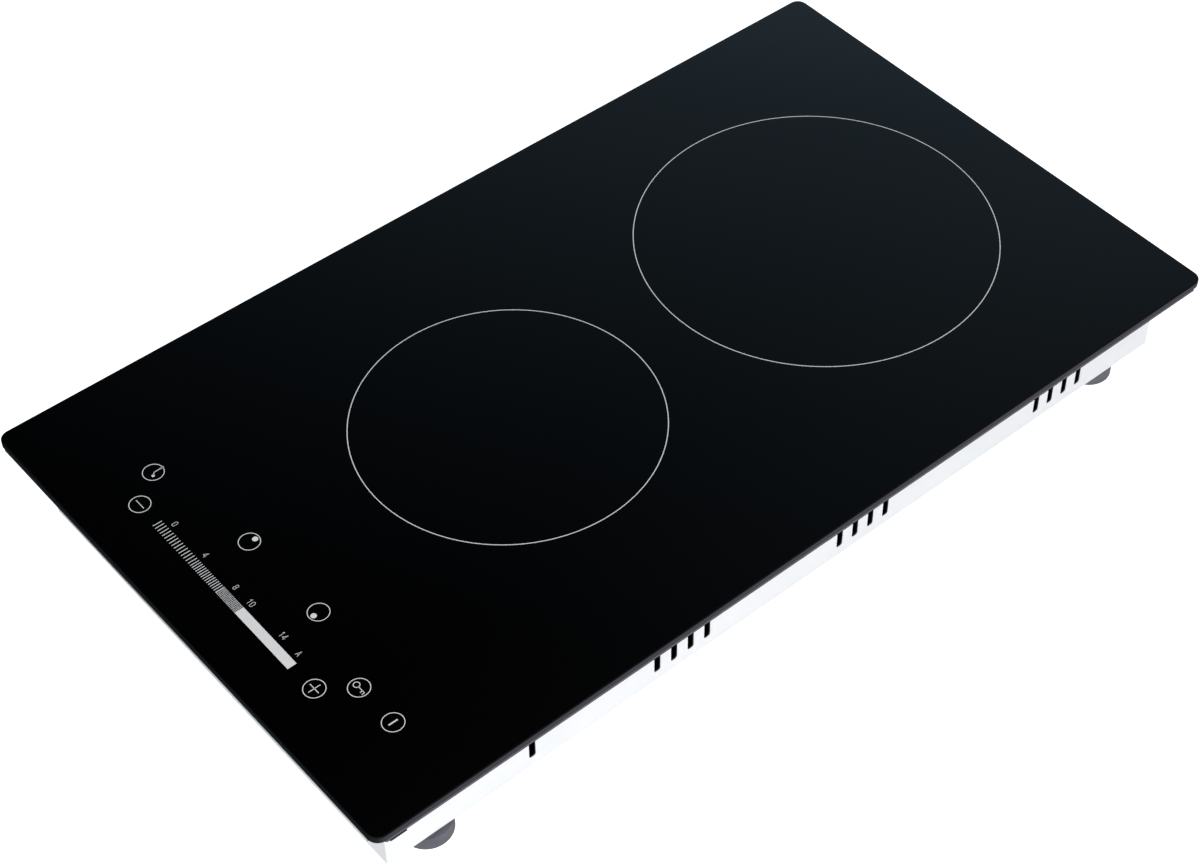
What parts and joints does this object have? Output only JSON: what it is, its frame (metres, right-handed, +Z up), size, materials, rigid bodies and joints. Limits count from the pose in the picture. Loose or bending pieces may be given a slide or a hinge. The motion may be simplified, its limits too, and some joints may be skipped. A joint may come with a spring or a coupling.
{
  "type": "induction cooktop",
  "caption": "Narrow built-in induction cooktop: black glass plate with two ring-marked zones and a touch strip, on a shallow white vented tray with rubber feet.",
  "frame": {"origin": "centre of the plan, on the plane that the feet stand on", "axes": "+X to the user's right, +Y towards the back, +Z up out of the glass"},
  "size_m": [0.302, 0.521, 0.061],
  "materials": {
    "glass_black": "polished black glass-ceramic, opaque from above",
    "seal_foam": "closed-cell foam tape",
    "silicone": "cured silicone bead",
    "white_paint": "smooth white stove enamel on folded sheet",
    "zinc_steel": "bright zinc-plated sheet",
    "screw_steel": "zinc-plated screw",
    "foot_rubber": "moulded dark grey rubber, matt",
    "black_plastic": "fine moulded texture",
    "grey_plastic": "fine moulded texture",
    "white_plastic": "moulded heat-resistant plastic",
    "board_green": "solder-masked circuit board",
    "aluminium": "mill finish",
    "copper_litz": "varnished copper strands",
    "ferrite": "sintered, matt",
    "mica": "pressed mica sheet",
    "sensor_rubber": "silicone rubber",
    "spring_steel": "spring wire",
    "capacitor_case": "potted box",
    "device_black": "moulded epoxy",
    "contact_brass": "plain brass",
    "wire_jacket": "insulated wire"
  },
  "bodies": {
    "cooktop": {"air_duct": "grey_plastic", "board_standoffs": "contact_brass", "bridge_rectifier": "device_black", "cable_gland": "black_plastic", "case_screws": "screw_steel", "case_tray": "white_paint", "coil_leads": "wire_jacket", "coil_plate": "aluminium", "coil_terminals": "white_plastic", "edge_seal": "seal_foam", "electrolytic_capacitors": "aluminium", "fan_housing": "black_plastic", "fan_motor": "zinc_steel", "filter_capacitors": "capacitor_case", "filter_choke": "copper_litz", "foot_front_left": "foot_rubber", "foot_front_right": "foot_rubber", "foot_rear_left": "foot_rubber", "foot_rear_right": "foot_rubber", "foot_screws": "screw_steel", "front_coil_springs": "spring_steel", "fuse": "white_plastic", "glass_adhesive": "silicone", "glass_top": "glass_black", "heatsink": "aluminium", "internal_screws": "screw_steel", "led_displays": "device_black", "mains_wires": "wire_jacket", "plate_posts": "zinc_steel", "power_board": "board_green", "power_transistors": "device_black", "rear_coil_springs": "spring_steel", "relays": "device_black", "resonance_capacitors": "capacitor_case", "ribbon_cable": "wire_jacket", "slider_strip": "black_plastic", "supply_transformer": "device_black", "support_frame": "zinc_steel", "terminal_block": "white_plastic", "terminal_hinge_pin": "screw_steel", "terminal_housing": "black_plastic", "terminal_screws": "contact_brass", "touch_board": "board_green", "touch_carrier": "white_plastic", "touch_electrodes": "spring_steel"},
    "fan_rotor": {"fan_impeller": "black_plastic"},
    "terminal_door": {"terminal_cover": "grey_plastic"},
    "front_coil": {"front_coil_former": "white_plastic", "front_coil_winding": "copper_litz", "front_ferrite_bars": "ferrite", "front_mica_sheet": "mica", "front_glass_sensor": "sensor_rubber"},
    "rear_coil": {"rear_coil_former": "white_plastic", "rear_coil_winding": "copper_litz", "rear_ferrite_bars": "ferrite", "rear_mica_sheet": "mica", "rear_glass_sensor": "sensor_rubber"}
  },
  "joints": [
    {"name": "fan_spin", "type": "hinge", "parent": "cooktop", "child": "fan_rotor", "pos_m": [-0.066, 0.176, 0], "axis": [0, 0, 1], "continuous": true},
    {"name": "front_coil_float", "type": "slide", "parent": "cooktop", "child": "front_coil", "axis": [0, 0, 1], "range_m": [-0.0015, 0], "stiffness_N_per_m": 3000, "springref_m": 0.005, "deforming": ["front_coil_springs"]},
    {"name": "rear_coil_float", "type": "slide", "parent": "cooktop", "child": "rear_coil", "axis": [0, 0, 1], "range_m": [-0.0015, 0], "stiffness_N_per_m": 3000, "springref_m": 0.006, "deforming": ["rear_coil_springs"]},
    {"name": "terminal_door_hinge", "type": "hinge", "parent": "cooktop", "child": "terminal_door", "pos_m": [0.0785, 0.2503, 0.0414], "axis": [1, 0, 0], "range_deg": [0, 95]}
  ]
}
